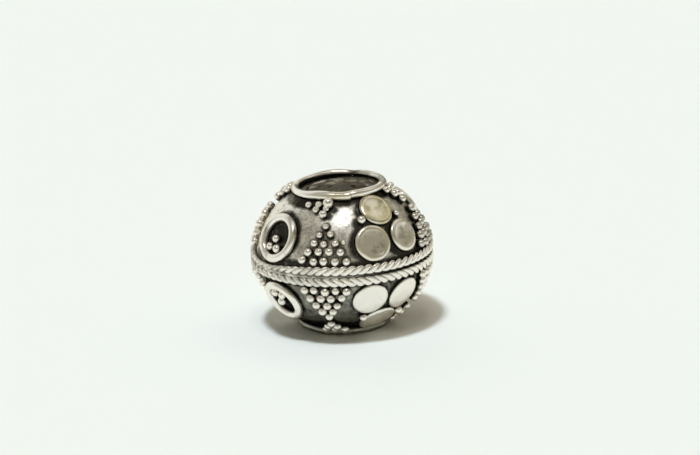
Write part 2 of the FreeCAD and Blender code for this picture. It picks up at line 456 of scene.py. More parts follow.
def grow(piece, tree, values):
    """Runs a geometry tree on a piece and keeps the result as its plain mesh."""
    modifier = piece.modifiers.new(tree.name, "NODES")
    modifier.node_group = tree
    for item in tree.interface.items_tree:
        if item.in_out == "INPUT" and item.name in values:
            modifier[item.identifier] = values[item.name]
    evaluated = piece.evaluated_get(bpy.context.evaluated_depsgraph_get())
    mesh = bpy.data.meshes.new_from_object(evaluated)
    piece.modifiers.remove(modifier)
    piece.data = mesh
    if signed_volume(mesh) < 0:
        mesh.flip_normals()


# Materials.

# Where patina makes silver polished, grey and black.
POLISHED_AT, GREY_AT, BLACK_AT = 0.12, 0.42, 0.80
# The patina from which and up to which silver gets rougher.
ROUGHENS_OVER = (0.1, 0.9)
# Patina lies in clouds and specks: the size of each, its detail, and how much patina it shifts. The
# specks come last, because they roughen the silver too.
CLOUDS = (0.60 * MM, 3.0, 0.36)
SPECKS = (0.16 * MM, 4.0, 0.24)
PATINA_NOISE_ROUGHNESS = 0.6
SPECK_ROUGHNESS = 0.10
# Bumps of each finish: the length of the waves, their depth and their detail. The marks of tumbling
# are too fine to show, so the shortest waves are drawn as two or three pixels of the photograph.
SHEET_BUMPS = ((0.70 * MM, 0.0140 * MM, 2.0), (0.12 * MM, 0.0050 * MM, 3.0))
WIRE_BUMPS = ((0.50 * MM, 0.0220 * MM, 2.0), (0.16 * MM, 0.0035 * MM, 2.0))
ROPE_BUMPS = ((0.30 * MM, 0.0200 * MM, 2.0), (0.14 * MM, 0.0060 * MM, 2.0))
DISC_BUMPS = ((0.16 * MM, 0.0045 * MM, 2.0),)
BALL_BUMPS = ((0.18 * MM, 0.0080 * MM, 2.0),)
BUMP_ROUGHNESS = 0.55
# Width and depth of the facets that the planishing hammer leaves.
FACET_WIDTH, FACET_DEPTH = 0.42 * MM, 0.020 * MM
# Patina at the foot of each finish: between two heights over the dome it falls from black to this.
WIRE_FOOT = (0.22 * MM, 0.05 * MM, -0.10, 0.90)
DISC_FOOT = (0.12 * MM, 0.02 * MM, 0.0, 0.90)
# On a ball this reaches above its middle: patina at the foot, and painted shade over the lower half.
BALL_FOOT_AND_PAINTED_SHADE = (0.35 * MM, 0.12 * MM, -0.20, 0.86)
# Patina of a ball by its height on the bead, and how far the side with painted glare and the darker side
# change it.
BALL_CROWN = (-0.5 * MM, 0.5 * MM, -0.25, 0.04)
BALL_PAINTED_GLARE = (0.60, 0.95, 1.0, 0.25)
BALL_DARKER = (0.55, 0.95, 0.0, 0.24)
# A rope's furrows lie within these shares of its half height from the middle of the rope.
FURROW_SHARES = (0.68, 0.34)
# Patina on a rope's crests and in its furrows, and what lying away from the lighter side and an open seam
# add.
CREST_DARKENING, CREST_OPENED = 0.20, -0.30
FURROW_PATINA, FURROW_DARKENING, FURROW_OPENED = 0.06, 0.18, 0.42
LIGHTER_ROPE_SHARES = (0.75, 1.0, 1.0, 0.0)
# Black line along the open seam, by height.
SEAM_LINE = (0.16 * MM, 0.05 * MM, 0.0, 0.9)
# Blotches on the discs: their size, the patina that they shift and where the film gathers.
BLOTCH_SIZE, BLOTCH_SHIFT, FILM_GATHERS = 0.9 * MM, 0.6, (0.35, 0.65, 0.3, 1.0)
# Tooth of the paper, its darker shade, and how matte the paper is.
TOOTH_SIZE, TOOTH_DETAIL, TOOTH_SHARES, TOOTH_SHADE = 0.25 * MM, 4.0, (0.2, 0.8, 0.0, 0.04), "#D9DED8"
PAPER_ROUGHNESS, PAPER_SHEEN = 0.95, 0.1


def new_material(name):
    """An empty material, its node tree and the place of each point on the object."""
    material = bpy.data.materials.new(name)
    material.use_nodes = True
    tree = material.node_tree
    tree.nodes.clear()
    return material, tree, add(tree, "ShaderNodeTexCoord").outputs["Object"]


def height_over_dome(tree, place):
    """How far a point stands out from the dome, the same on both halves."""
    parts = add(tree, SPLIT, (place,)).outputs
    folded = add(tree, JOIN, (parts[0], parts[1], add(tree, MATH, (parts[2],), operation="ABSOLUTE")))
    distance = add(tree, VECTOR_MATH, (folded, (0, 0, -sphere_drop())), operation="DISTANCE")
    return add(tree, MATH, (distance, sphere_radius()), operation="SUBTRACT")


def towards_side(tree, place, azimuth):
    """How far a point lies towards one side of the bead: 1 on the seam at that azimuth, 0 at the axis."""
    side = tuple(direction(math.pi / 2, azimuth) / SEAM_RADIUS)
    return add(tree, VECTOR_MATH, (place, side), operation="DOT_PRODUCT")


def silver_surface(material, tree, place, patina, bumps, mottle=1.0, satin=0.0, tint=None, facets=None):
    """Tumbled and oxidised silver. Patina runs from 0, polished, to 1, black with sulphide."""
    look = finish()
    for size, detail, shift in (CLOUDS, SPECKS):
        speck = add(tree, NOISE, {
            "Vector": place, "Scale": 1 / size, "Detail": detail, "Roughness": PATINA_NOISE_ROUGHNESS})
        spread = add(tree, MATH, (speck, shift * mottle, -shift * mottle / 2), operation="MULTIPLY_ADD")
        patina = add(tree, MATH, (patina, spread), operation="ADD")
    patina = add(tree, MATH, (patina, 0.0), operation="ADD", use_clamp=True)
    shade = add(tree, "ShaderNodeValToRGB", (patina,))
    set_stops(shade, ((POLISHED_AT, look.polished), (BLACK_AT, look.blackened), (GREY_AT, look.dull)))
    if tint is not None:
        shade = add(tree, MIX, {"Factor": tint, "A": shade, "B": look.warm}, data_type="RGBA",
                    blend_type="MULTIPLY")
    ends = (look.polished_roughness + satin, look.black_roughness)
    roughness = add(tree, RANGE, (patina, *ROUGHENS_OVER, *ends), **SMOOTH)
    grain = add(tree, MATH, (speck, SPECK_ROUGHNESS, -SPECK_ROUGHNESS / 2), operation="MULTIPLY_ADD")
    roughness = add(tree, MATH, (roughness, grain), operation="ADD")
    normal = facets
    for size, depth, detail in bumps:
        height = add(tree, NOISE, {
            "Vector": place, "Scale": 1 / size, "Detail": detail, "Roughness": BUMP_ROUGHNESS})
        inputs = {"Height": height, "Distance": depth, "Strength": 1.0}
        if normal is not None:
            inputs["Normal"] = normal
        normal = add(tree, "ShaderNodeBump", inputs)
    shader = add(tree, "ShaderNodeBsdfPrincipled", {
        "Base Color": shade, "Specular Tint": shade, "Metallic": 1.0, "Roughness": roughness,
        "Normal": normal})
    add(tree, "ShaderNodeOutputMaterial", {"Surface": shader})
    return material


def dapped_sheet():
    """Sterling silver sheet, dapped and tumbled: soft hammer waves, polished where it stands clear."""
    material, tree, place = new_material("dapped_oxidised_sterling_sheet")
    patina = add(tree, ATTRIBUTE, attribute_name="patina").outputs["Fac"]
    return silver_surface(material, tree, place, patina, SHEET_BUMPS, mottle=2.1, satin=0.08)


def drawn_wire():
    """Drawn sterling wire, soldered and tumbled: bright along its back, black where it meets the dome.

    The collars, the rings and the solder of the seam share it, so it is made once.
    """
    made = bpy.data.materials.get("drawn_sterling_wire")
    if made is not None:
        return made
    material, tree, place = new_material("drawn_sterling_wire")
    foot = add(tree, RANGE, (height_over_dome(tree, place), *WIRE_FOOT), **SMOOTH)
    stain = add(tree, ATTRIBUTE, attribute_name="patina").outputs["Fac"]
    # On the collar this film is a painted warm highlight.
    film = add(tree, ATTRIBUTE, attribute_name="film").outputs["Fac"]
    patina = add(tree, MATH, (foot, stain), operation="MAXIMUM")
    return silver_surface(material, tree, place, patina, WIRE_BUMPS, tint=film)


def twisted_wire(path_radius, path_height, half_height, flatness):
    """Two fine wires twisted and rolled: bright crests, and black furrows where the seam is open."""
    material, tree, place = new_material("twisted_sterling_wire")
    parts = add(tree, SPLIT, (place,)).outputs
    flat = add(tree, JOIN, (parts[0], parts[1]))
    distance = add(tree, VECTOR_MATH, (flat,), operation="LENGTH")
    out = add(tree, MATH, (distance, path_radius), operation="SUBTRACT")
    out = add(tree, MATH, (out, flatness), operation="DIVIDE")
    height = add(tree, MATH, (parts[2],), operation="ABSOLUTE")
    up = add(tree, MATH, (height, path_height), operation="SUBTRACT")
    reach = add(tree, VECTOR_MATH, (add(tree, JOIN, (out, up)),), operation="LENGTH")
    opened = add(tree, RANGE, (towards_side(tree, place, OPEN_SEAM_SIDE), *OPEN_SEAM_SHARES), **SMOOTH)
    # Furrows carry less patina on one side, and are blackest and deepest where the seam is open.
    rope_darkening = add(tree, RANGE, (towards_side(tree, place, LIGHTER_ROPE_SIDE), *LIGHTER_ROPE_SHARES), **SMOOTH)
    crest = add(tree, MATH, (rope_darkening, CREST_DARKENING), operation="MULTIPLY")
    crest = add(tree, MATH, (opened, CREST_OPENED, crest), operation="MULTIPLY_ADD")
    depth = add(tree, MATH, (rope_darkening, FURROW_DARKENING, FURROW_PATINA), operation="MULTIPLY_ADD")
    depth = add(tree, MATH, (opened, FURROW_OPENED, depth), operation="MULTIPLY_ADD")
    reaches = [share_of_height * half_height for share_of_height in FURROW_SHARES]
    furrow = add(tree, RANGE, (reach, *reaches, crest, depth), **SMOOTH)
    line = add(tree, RANGE, (height, *SEAM_LINE), **SMOOTH)
    line = add(tree, MATH, (line, opened), operation="MULTIPLY")
    patina = add(tree, MATH, (furrow, line), operation="MAXIMUM")
    return silver_surface(material, tree, place, patina, ROPE_BUMPS, mottle=1.4, satin=0.06)


def planished_sheet():
    """Sterling discs cut from sheet and planished: faint facets, a worn rim and a yellowish film."""
    material, tree, place = new_material("planished_sterling_sheet")
    foot = add(tree, RANGE, (height_over_dome(tree, place), *DISC_FOOT), **SMOOTH)
    blotch = add(tree, NOISE, {
        "Vector": place, "Scale": 1 / BLOTCH_SIZE, "Detail": 2.0, "Roughness": BUMP_ROUGHNESS})
    stain = add(tree, ATTRIBUTE, attribute_name="patina").outputs["Fac"]
    stain = add(tree, MATH, (stain, -BLOTCH_SHIFT / 2), operation="ADD")
    stain = add(tree, MATH, (blotch, BLOTCH_SHIFT, stain), operation="MULTIPLY_ADD")
    patina = add(tree, MATH, (foot, stain), operation="MAXIMUM")
    gathered = add(tree, RANGE, (blotch, *FILM_GATHERS), **SMOOTH)
    film = add(tree, ATTRIBUTE, attribute_name="film").outputs["Fac"]
    film = add(tree, MATH, (gathered, film), operation="MULTIPLY")
    cells = add(tree, "ShaderNodeTexVoronoi", {"Vector": place, "Scale": 1 / FACET_WIDTH},
                feature="SMOOTH_F1")
    facets = add(tree, "ShaderNodeBump", {"Height": cells, "Distance": FACET_DEPTH, "Strength": 1.0})
    return silver_surface(material, tree, place, patina, DISC_BUMPS, mottle=1.3, satin=0.04, tint=film,
                          facets=facets)


def fused_ball():
    """Sterling granules melted to balls and fused on: bright crowns, black patina round their feet and
    painted shade over their lower half.
    """
    material, tree, place = new_material("fused_sterling_granules")
    crown = add(tree, RANGE, (add(tree, SPLIT, (place,)).outputs[2], *BALL_CROWN), **SMOOTH)
    # Black at the foot and over the lower half of each ball: patina, and painted shade.
    foot = add(tree, RANGE, (height_over_dome(tree, place), *BALL_FOOT_AND_PAINTED_SHADE), **SMOOTH)
    # Less patina at the feet of the balls on one side: a painted sheen for glare.
    painted_glare = add(tree, RANGE, (towards_side(tree, place, PAINTED_GLARE_SIDE), *BALL_PAINTED_GLARE), **SMOOTH)
    # More patina on the balls of one side, so that side is darker.
    darker = add(tree, RANGE, (towards_side(tree, place, DARKER_SIDE), *BALL_DARKER), **SMOOTH)
    foot = add(tree, MATH, (foot, painted_glare), operation="MULTIPLY")
    patina = add(tree, MATH, (crown, foot), operation="MAXIMUM")
    patina = add(tree, MATH, (patina, darker), operation="ADD")
    return silver_surface(material, tree, place, patina, BALL_BUMPS)


def table_paper():
    """Matte pale paper with a barely visible tooth."""
    material, tree, place = new_material("matte_paper")
    tooth = add(tree, NOISE, {
        "Vector": place, "Scale": 1 / TOOTH_SIZE, "Detail": TOOTH_DETAIL, "Roughness": BUMP_ROUGHNESS})
    tooth = add(tree, RANGE, (tooth, *TOOTH_SHARES), **SMOOTH)
    shades = {"Factor": tooth, "A": finish().paper, "B": linear(TOOTH_SHADE)}
    shade = add(tree, MIX, shades, data_type="RGBA")
    shader = add(tree, "ShaderNodeBsdfPrincipled", {
        "Base Color": shade, "Roughness": PAPER_ROUGHNESS, "Specular IOR Level": PAPER_SHEEN})
    add(tree, "ShaderNodeOutputMaterial", {"Surface": shader})
    return material


# Shells.

SHELL_COLUMNS, SHELL_ROWS, WALL_ROWS, INSIDE_ROWS = 360, 84, 6, 20
LIP_ROUNDING = 0.05 * MM
# Waves that dapping leaves, long and short, and the rows over which they die out at both ends.
LONG_WAVE, SHORT_WAVE, SHORT_SHARE, FADE_ROWS = 2.4 * MM, 0.9 * MM, 0.35, 8
# The hole was pierced and filed by hand, so its wall wanders in these rows past the lip.
HOLE_WANDER, HOLE_WAVE, HOLE_SHIFT, HOLE_ROWS = 0.08 * MM, 0.5 * MM, -0.01 * MM, 11
# Ragged edge of the stain round the motifs.
STAIN_WANDER, STAIN_WAVE = 0.10 * MM, 0.8 * MM
# How much wider the stain round the lower collar is, as a share.
LOWER_STAIN_WIDENING = 1.2
# Blots inside the bead: their size, what they add to the patina, and the limits of that.
BLOT_SIZE, BLOT_GAIN, BLOT_SHIFT, BLOT_LIMITS = 0.45 * MM, 1.4, -0.25, (-0.15, 0.55)
# Share of the patina taken off on the side with the painted glare, and the patina on the lip with its change
# round it.
PAINTED_GLARE_SHARE, LIP_ROWS, LIP_PATINA, LIP_PATINA_CHANGE = 0.75, 4, 0.45, 0.35


def motif_distance(points, half):
    """Distance along the dome from each point to the nearest motif, band or stain round the collar."""
    shell, trim, wire = shell_sizes(), trim_sizes(), wire_sizes()
    radius = sphere_radius()
    rays = rays_to(points)
    polar = np.arccos(rays[..., 2])
    azimuths = np.arctan2(rays[..., 1], rays[..., 0])
    widening = LOWER_STAIN_WIDENING
    if half > 0:
        widening = near(azimuths, WIDE_STAIN_SIDE, WIDE_STAIN_NARROWNESS)
    stain = wire.collar_wire + shell.collar_stain * (1 + widening)
    nearest = np.minimum(np.abs(polar - collar_polar()) * radius - stain,
                         (polar_at_height(BAND_EDGE, radius) - polar) * radius)

    def reach(place, azimuth, size):
        ray = direction(place[0], math.radians(azimuth) + place[1])
        return np.arccos(np.clip(rays @ ray, -1, 1)) * radius - size

    tall, small = hourglass_places()
    motifs = ((HOURGLASS_AZIMUTHS, tall + small, trim.granule_radius - shell.ball_stain),
              (TREFOIL_AZIMUTHS, trefoil_places().values(), trim.disc_radius),
              (TREFOIL_AZIMUTHS, crook_places(), trim.granule_radius))
    for sides, places, size in motifs:
        for azimuth in sides.values():
            for place in places:
                nearest = np.minimum(nearest, reach(place, azimuth, size))
    for azimuth in RING_AZIMUTHS.values():
        away = reach((ring_polar(), 0.0), azimuth, wire.ring_radius)
        nearest = np.minimum(nearest, np.where(away < 0, 0.0, away - wire.ring_wire - shell.ring_stain))
    return nearest


def lip_height(azimuths, half):
    """Height of the flat round the hole. The upper one was filed lower on one side."""
    slope = shell_sizes().lip_slope if half > 0 else 0.0
    return LIP_HEIGHT - slope * (1 - np.cos(azimuths - COLLAR_HIGH_SIDE)) / 2


def shell_grid(half):
    """The dapped dome, from the seam over the outside, through the hole and back inside."""
    sizes, drop, radius = shell_sizes(), sphere_drop(), sphere_radius()
    inner = radius - sizes.sheet_thickness
    bore, edge = sizes.bore_radius, LIP_ROUNDING
    azimuths = steps_round(SHELL_COLUMNS)
    top = lip_height(azimuths, half)
    lip_polar = np.arccos((top + drop) / radius)
    lip = radius * np.sin(lip_polar)
    low = math.sqrt(inner ** 2 - sizes.lip_radius ** 2) - drop
    seam = math.acos(drop / radius)
    polars = [seam + (lip_polar - seam) * along for along in np.linspace(0, 1, SHELL_ROWS)]
    outside = [(radius * np.sin(p), radius * np.cos(p) - drop) for p in polars]
    land = [(lip - edge, top), ((lip + bore) / 2, top), (bore + edge, top),
            (bore + edge / 4, top - edge / 4)]
    wall = [(bore, top - edge + (low + 2 * edge - top) * along) for along in np.linspace(0, 1, WALL_ROWS)]
    under = [(bore + edge / 4, low + edge / 4), (bore + edge, low), (sizes.lip_radius, low)]
    polars = np.linspace(math.asin(sizes.lip_radius / inner), math.acos(drop / inner), INSIDE_ROWS)
    inside = [(inner * math.sin(p), inner * math.cos(p) - drop) for p in polars[1:]]
    rows = outside + land + wall + under + inside
    rows = [[np.broadcast_to(value, SHELL_COLUMNS) for value in row] for row in rows]
    distances, heights = np.array(rows).transpose(1, 0, 2)
    return np.stack([distances * np.cos(azimuths), distances * np.sin(azimuths), heights], axis=-1)


def shell_patina(grid, half, seed):
    """Patina at each point: black near the motifs, less where the shell stands clear, blots inside."""
    look, rows = finish(), SHELL_ROWS
    skin = grid[:rows]
    azimuths = steps_round(SHELL_COLUMNS)
    patina = np.full(grid.shape[:2], look.inner_patina)
    blots = BLOT_GAIN * waves(grid[rows:], BLOT_SIZE, seed + 12) + BLOT_SHIFT
    patina[rows:] += np.clip(blots, *BLOT_LIMITS)
    patina[rows:rows + LIP_ROWS] = LIP_PATINA + LIP_PATINA_CHANGE * np.cos(azimuths - DENT_SIDE)
    clear = motif_distance(skin, half) + STAIN_WANDER * waves(skin, STAIN_WAVE, seed + 2)
    clear = np.clip(clear / shell_sizes().clear_width, 0, 1)
    clear *= clear * (3 - 2 * clear)
    least = look.upper_patina if half > 0 else look.lower_patina
    patina[:rows] = look.recess_patina + (least - look.recess_patina) * clear
    # Less patina on one side of the upper shell: a painted sheen for glare.
    if half > 0:
        patina[:rows] *= 1 - PAINTED_GLARE_SHARE * near(azimuths, PAINTED_GLARE_SIDE, PAINTED_GLARE_NARROWNESS)
    # More patina on one side of both shells, so that side is darker.
    darker = look.recess_patina * near(azimuths, DARKER_SIDE, DARKER_NARROWNESS)
    patina[:rows] = np.maximum(patina[:rows], darker)
    return patina


def make_shell(name, half, material):
    """A dapped shell with the waves of the dapping and a hole filed by hand."""
    grid, rows, seed = shell_grid(half), SHELL_ROWS, 1 + (half < 0)
    skin = grid[:rows]
    fade = np.minimum(1, np.minimum(np.arange(rows), rows - 1 - np.arange(rows)) / FADE_ROWS)[:, None]
    push = waves(skin, LONG_WAVE, seed) + SHORT_SHARE * waves(skin, SHORT_WAVE, seed + 4)
    skin += rays_to(skin) * (shell_sizes().unevenness * push * fade)[..., None]
    hole = grid[rows + 1:rows + 1 + HOLE_ROWS]
    radial = hole * np.array([1, 1, 0])
    radial /= np.linalg.norm(radial, axis=-1, keepdims=True)
    wander = HOLE_WANDER * waves(hole * np.array([1, 1, 3]), HOLE_WAVE, seed + 8) + HOLE_SHIFT
    hole += radial * wander[..., None]
    patina = shell_patina(grid, half, seed)
    piece = grid_piece(name + "_dapped_shell", grid * np.array([1, 1, half]), True)
    store(piece, "patina", patina)
    hand_over(piece, material, "dome_silver", name + "_dome")


class BEAD_OT_shells(Operator):
    """Makes the two dapped shells with their pierced ends"""
    bl_idname = "bead.shells"
    bl_label = "Shells"

    def execute(self, context):
        material = dapped_sheet()
        for name, half in HALVES.items():
            make_shell(name, half, material)
        return {"FINISHED"}


# Collars.

COLLAR_STATIONS, COLLAR_SIDES = 240, 16
# Where each collar's wire was joined, and by how much its ends pass each other.
COLLAR_JOINTS = {"upper": math.radians(245), "lower": math.radians(60)}
COLLAR_OVERLAP = math.radians(9)
# The first end is bent in and thinned, and the other is bent out, each over an angle from the joint.
END_IN, END_IN_ANGLE, END_THINNING = 0.14 * MM, 0.18, 0.20
END_OUT, END_OUT_ANGLE = 0.17 * MM, 0.22
# Each end closes in two smaller rings, and stands on by a share of the wire's radius.
END_RINGS, END_LENGTH = (0.35, 0.8), 0.7
# Sway of the wire's path, its change of thickness, and the length of their waves on a circle.
SWAY, SWAY_WAVE = 0.035 * MM, 2.2 * MM
MEAN_THICKNESS, THICKNESS_CHANGE, THICKNESS_WAVE = 0.97, 0.10, 1.3 * MM
COLLAR_NOISE_RADIUS, SWAY_SEED, THICKNESS_SEED = 3 * MM, 11, 21
# How much thicker the wire is where it swells, and the share of that by which its path lies inwards.
SWELLING, SWELLING_INWARDS = 0.34, 0.3
# How high the wire's middle lies over the dome and over the lip, in shares of its radius.
DOME_SEAT, LIP_SEAT = 0.90, 0.88
# The dent at the back, as the angle that it spans and its depth, with the stain in it and beside it.
DENT_ANGLE, DENT_DEPTH, DENT_STAIN, BACK_STAIN = 0.15, 0.30, 0.6, 0.34
# Patina over the whole lower collar, partly real and partly painted shade of the bead's own shadow on the
# table.
LOWER_COLLAR_PATINA_AND_PAINTED_SHADE = 0.44
# Grey film on the wire's inner face, and the yellow tint of a painted warm highlight on the collar's front.
INNER_FILM, INNER_FACE, INNER_FACE_FALL, COLLAR_PAINTED_HIGHLIGHT = 0.75, 0.9, 1.6, 0.55
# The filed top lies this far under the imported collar's.
LAND_DEPTH = 0.004 * MM


def make_collar(name, half, material):
    """A round wire bent to a ring. Its ends pass each other a little at the joint."""
    wire = wire_sizes()
    along = np.linspace(0, 1, COLLAR_STATIONS)
    azimuths = COLLAR_JOINTS[name] + along * (FULL_TURN + COLLAR_OVERLAP) - COLLAR_OVERLAP / 2
    inward = np.exp(-(along * FULL_TURN / END_IN_ANGLE) ** 2)
    outwards = np.exp(-((1 - along) * FULL_TURN / END_OUT_ANGLE) ** 2)
    circle = circle_at(azimuths)
    track = circle * COLLAR_NOISE_RADIUS
    sway = SWAY * waves(track, SWAY_WAVE, SWAY_SEED + half)
    change = THICKNESS_CHANGE * waves(track, THICKNESS_WAVE, THICKNESS_SEED + half)
    thick = wire.collar_wire * (MEAN_THICKNESS + change) * (1 - END_THINNING * inward)
    swelling = SWELLING * thick * near(azimuths, SWELLING_SIDE, SWELLING_NARROWNESS) * (half > 0)
    thick = thick + swelling
    radii = wire.collar_radius + sway - END_IN * inward + END_OUT * outwards - SWELLING_INWARDS * swelling
    # The wire rests on the dome, or on the flat where that was filed low.
    foot = np.sqrt((sphere_radius() + DOME_SEAT * thick) ** 2 - radii ** 2) - sphere_drop()
    foot = np.minimum(foot, lip_height(azimuths, half) + LIP_SEAT * thick)
    from_dent = np.mod(azimuths - DENT_SIDE + math.pi, FULL_TURN) - math.pi
    dent = np.exp(-(from_dent / DENT_ANGLE) ** 2)
    thick = thick * (1 - DENT_DEPTH * dent)
    rise = np.tile([0.0, 0.0, 1.0], (COLLAR_STATIONS, 1))
    path = circle * radii[:, None] + rise * foot[:, None]
    grid = wire_tube(path, circle, rise, thick, thick, COLLAR_SIDES)

    def end_rings(station, way):
        onwards = np.cross(rise[station], circle[station]) * thick[station] * END_LENGTH * way
        return [path[station] + (grid[station] - path[station]) * k + onwards * (1 - k) for k in END_RINGS]

    grid = np.concatenate([end_rings(0, -1), grid, end_rings(-1, 1)[::-1]])
    grid[..., 2] = np.minimum(grid[..., 2], COLLAR_TOP - LAND_DEPTH)
    piece = grid_piece(name + "_wire_collar", grid * np.array([1, 1, half]))
    stain = BACK_STAIN * np.clip(np.sin(DENT_SIDE - azimuths), 0, 1) ** 0.5 + DENT_STAIN * dent
    stain[np.cos(azimuths - DENT_SIDE) < 0] = 0
    # The lower collar is darkened all round: patina, and painted shade where it sits in the bead's shadow.
    if half < 0:
        stain[:] = LOWER_COLLAR_PATINA_AND_PAINTED_SHADE
    film = INNER_FILM * near(azimuths, FILM_SIDE, FILM_NARROWNESS) * (half > 0)
    face = np.clip(INNER_FACE - np.cos(steps_round(COLLAR_SIDES)) * INNER_FACE_FALL, 0, 1)
    stain = np.maximum(stain[:, None], np.outer(film, face))
    stain = np.concatenate([stain[:1], stain[:1], stain, stain[-1:], stain[-1:]])
    store(piece, "patina", np.append(stain, [stain[0].mean(), stain[-1].mean()]))
    points = np.array([vertex.co for vertex in piece.data.vertices])
    # A yellow tint where the upper collar faces the camera: a painted warm highlight.
    painted_highlight = near(np.arctan2(points[:, 1], points[:, 0]), PAINTED_HIGHLIGHT_SIDE, PAINTED_HIGHLIGHT_NARROWNESS)
    store(piece, "film", COLLAR_PAINTED_HIGHLIGHT * painted_highlight * (half > 0))
    hand_over(piece, material, "wire_silver", name + "_collar")


class BEAD_OT_collars(Operator):
    """Makes the wire collar round the hole at each end"""
    bl_idname = "bead.collars"
    bl_label = "Collars"

    def execute(self, context):
        material = drawn_wire()
        for name, half in HALVES.items():
            make_collar(name, half, material)
        return {"FINISHED"}


# Ropes and the solder between them.

STATIONS_PER_TURN, STRAND_SIDES = 16, 10
# Radius of a strand and its distance from the rope's middle, in shares of the rope's height.
STRAND_RADIUS, STRAND_OFFSET = 0.25, 0.23
# How the twist wanders, in radians, with the length of its waves.
TWIST_WANDER, TWIST_WAVE = 1.2, 1.6 * MM
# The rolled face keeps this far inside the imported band, and turns into it over this length.
ROLLED_MARGIN, ROLLED_BLEND = 0.03 * MM, 0.05 * MM
THINNING = {"upper": 0.55, "lower": 0.12}
THINNING_NARROWNESS = 8.0
SEAM_STATIONS, SEAM_SIDES = 360, 10
SOLDER_HALF_DEPTH, SOLDER_HALF_HEIGHT = 0.14 * MM, 0.15 * MM
# How far the solder lies inside the band where the seam is filled, and how much more where it is open.
FILLED_DEPTH, OPEN_DEPTH, SOLDER_WANDER, SOLDER_WAVE = 0.05 * MM, 0.20 * MM, 0.02 * MM, 0.5 * MM
SOLDER_PATINA, OPEN_PATINA, SOLDER_BLOTS, SOLDER_BLOT_SIZE = 0.36, 0.53, 0.30, 0.35 * MM
SOLDER_SEED, SOLDER_BLOT_SEED = 71, 73


def rope_tree():
    """Two strands carried round the seam in a twist and rolled flat against the shell."""
    tree, given = new_tree("Twisted rope", (
        ("Path Radius", NUMBER, 0.0), ("Path Height", NUMBER, 0.0), ("Strand Radius", NUMBER, 0.0),
        ("Strand Offset", NUMBER, 0.0), ("Turns", WHOLE, 33), ("Stations", WHOLE, 528),
        ("Lay", NUMBER, 1.0), ("Flatness", NUMBER, 0.5), ("Outer Limit", NUMBER, 0.006),
        ("Unevenness", NUMBER, 0.4), ("Thin Azimuth", NUMBER, 0.0), ("Thinning", NUMBER, 0.0),
        ("Material", SUBSTANCE, None)))
    strands = add(tree, "GeometryNodeJoinGeometry")
    place = add(tree, PLACE)
    parts = add(tree, SPLIT, (place,)).outputs
    azimuth = add(tree, MATH, (parts[1], parts[0]), operation="ARCTAN2")
    uneven = add(tree, NOISE, {"Vector": place, "Scale": 1 / TWIST_WAVE, "Detail": 1.0})
    uneven = add(tree, MATH, (uneven, 0.5), operation="SUBTRACT")
    for phase in (0.0, math.pi):
        twist = add(tree, MATH, (azimuth, given["Turns"], phase), operation="MULTIPLY_ADD")
        twist = add(tree, MATH, (uneven, given["Unevenness"], twist), operation="MULTIPLY_ADD")
        out = add(tree, MATH, (twist,), operation="COSINE")
        out = add(tree, MATH, (out, given["Strand Offset"]), operation="MULTIPLY")
        rise = add(tree, MATH, (twist,), operation="SINE")
        ends = (given["Strand Offset"], given["Path Height"])
        rise = add(tree, MATH, (rise, *ends), operation="MULTIPLY_ADD")
        rise = add(tree, MATH, (rise, given["Lay"]), operation="MULTIPLY")
        ray = add(tree, VECTOR_MATH, (place,), operation="NORMALIZE")
        shift = add(tree, VECTOR_MATH, {0: ray, "Scale": out}, operation="SCALE")
        offset = add(tree, VECTOR_MATH, (shift, add(tree, JOIN, {2: rise})), operation="ADD")
        circle = add(tree, CURVE_CIRCLE, {"Resolution": given["Stations"], "Radius": given["Path Radius"]})
        path = add(tree, RESHAPE, {"Geometry": circle, "Offset": offset})
        profile = add(tree, CURVE_CIRCLE, {"Resolution": STRAND_SIDES, "Radius": given["Strand Radius"]})
        tube = add(tree, "GeometryNodeCurveToMesh", {"Curve": path, "Profile Curve": profile})
        tree.links.new(tube.outputs[0], strands.inputs[0])
    flat = add(tree, JOIN, (parts[0], parts[1]))
    distance = add(tree, VECTOR_MATH, (flat,), operation="LENGTH")
    rolled = add(tree, MATH, (distance, given["Path Radius"]), operation="SUBTRACT")
    rolled = add(tree, MATH, (rolled, given["Flatness"], given["Path Radius"]), operation="MULTIPLY_ADD")
    rolled = add(tree, MATH, (rolled, given["Outer Limit"], ROLLED_BLEND), operation="SMOOTH_MIN")
    scale = add(tree, MATH, (rolled, distance), operation="DIVIDE")
    away = add(tree, MATH, (azimuth, given["Thin Azimuth"]), operation="SUBTRACT")
    away = add(tree, MATH, (away,), operation="COSINE")
    thin = add(tree, MATH, (away, THINNING_NARROWNESS, -THINNING_NARROWNESS), operation="MULTIPLY_ADD")
    thin = add(tree, MATH, (thin,), operation="EXPONENT")
    thin = add(tree, MATH, (thin, given["Thinning"]), operation="MULTIPLY")
    thin = add(tree, MATH, (1.0, thin), operation="SUBTRACT")
    scales = add(tree, JOIN, (scale, scale, thin))
    placed = add(tree, VECTOR_MATH, (place, scales), operation="MULTIPLY")
    shaped = add(tree, RESHAPE, {"Geometry": strands, "Position": placed})
    return end_tree(tree, add(tree, "GeometryNodeSetShadeSmooth", {"Geometry": shaped}), given["Material"])


